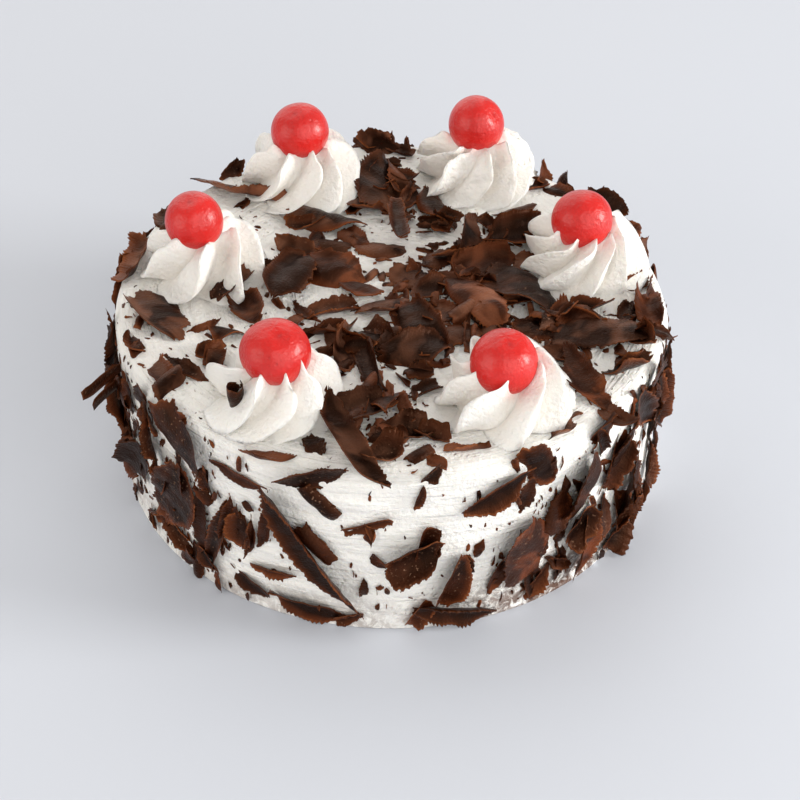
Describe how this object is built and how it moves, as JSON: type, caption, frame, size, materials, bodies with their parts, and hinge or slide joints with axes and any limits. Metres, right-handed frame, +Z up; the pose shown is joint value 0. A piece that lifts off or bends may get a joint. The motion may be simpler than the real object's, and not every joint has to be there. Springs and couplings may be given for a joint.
{
  "type": "black forest cake",
  "caption": "Round black forest cake iced with whipped cream, with piped rosettes, glazed cherries and dark chocolate shavings on its top and wall.",
  "frame": {"origin": "middle of the flat underside, on the surface the cake stands on", "axes": "+Z up through the middle of the cake; -Y towards the pair of rosettes at the front; +X to the right of a viewer at the front"},
  "size_m": [0.181, 0.1849, 0.0962],
  "materials": {
    "cream": "whipped cream, soft and slightly satin",
    "cherry": "glazed, glossy",
    "chocolate": "satin, with a dull bloom on broad faces"
  },
  "bodies": {
    "root": {"iced_cake": "cream", "rosette_1": "cream", "rosette_2": "cream", "rosette_3": "cream", "rosette_4": "cream", "rosette_5": "cream", "rosette_6": "cream", "cherry_1": "cherry", "cherry_2": "cherry", "cherry_3": "cherry", "cherry_4": "cherry", "cherry_5": "cherry", "cherry_6": "cherry", "large_shaving_01": "chocolate", "large_shaving_02": "chocolate", "large_shaving_03": "chocolate", "large_shaving_04": "chocolate", "large_shaving_05": "chocolate", "large_shaving_06": "chocolate", "large_shaving_07": "chocolate", "large_shaving_08": "chocolate", "large_shaving_09": "chocolate", "large_shaving_10": "chocolate", "large_shaving_11": "chocolate", "large_shaving_12": "chocolate", "large_shaving_13": "chocolate", "large_shaving_14": "chocolate", "large_shaving_15": "chocolate", "large_shaving_16": "chocolate", "large_shaving_17": "chocolate", "large_shaving_18": "chocolate", "large_shaving_19": "chocolate", "large_shaving_20": "chocolate", "large_shaving_21": "chocolate", "large_shaving_22": "chocolate", "large_shaving_23": "chocolate", "large_shaving_24": "chocolate", "large_shaving_25": "chocolate", "large_shaving_26": "chocolate", "large_shaving_27": "chocolate", "large_shaving_28": "chocolate", "large_shaving_29": "chocolate", "large_shaving_30": "chocolate", "large_shaving_31": "chocolate"}
  },
  "joints": []
}
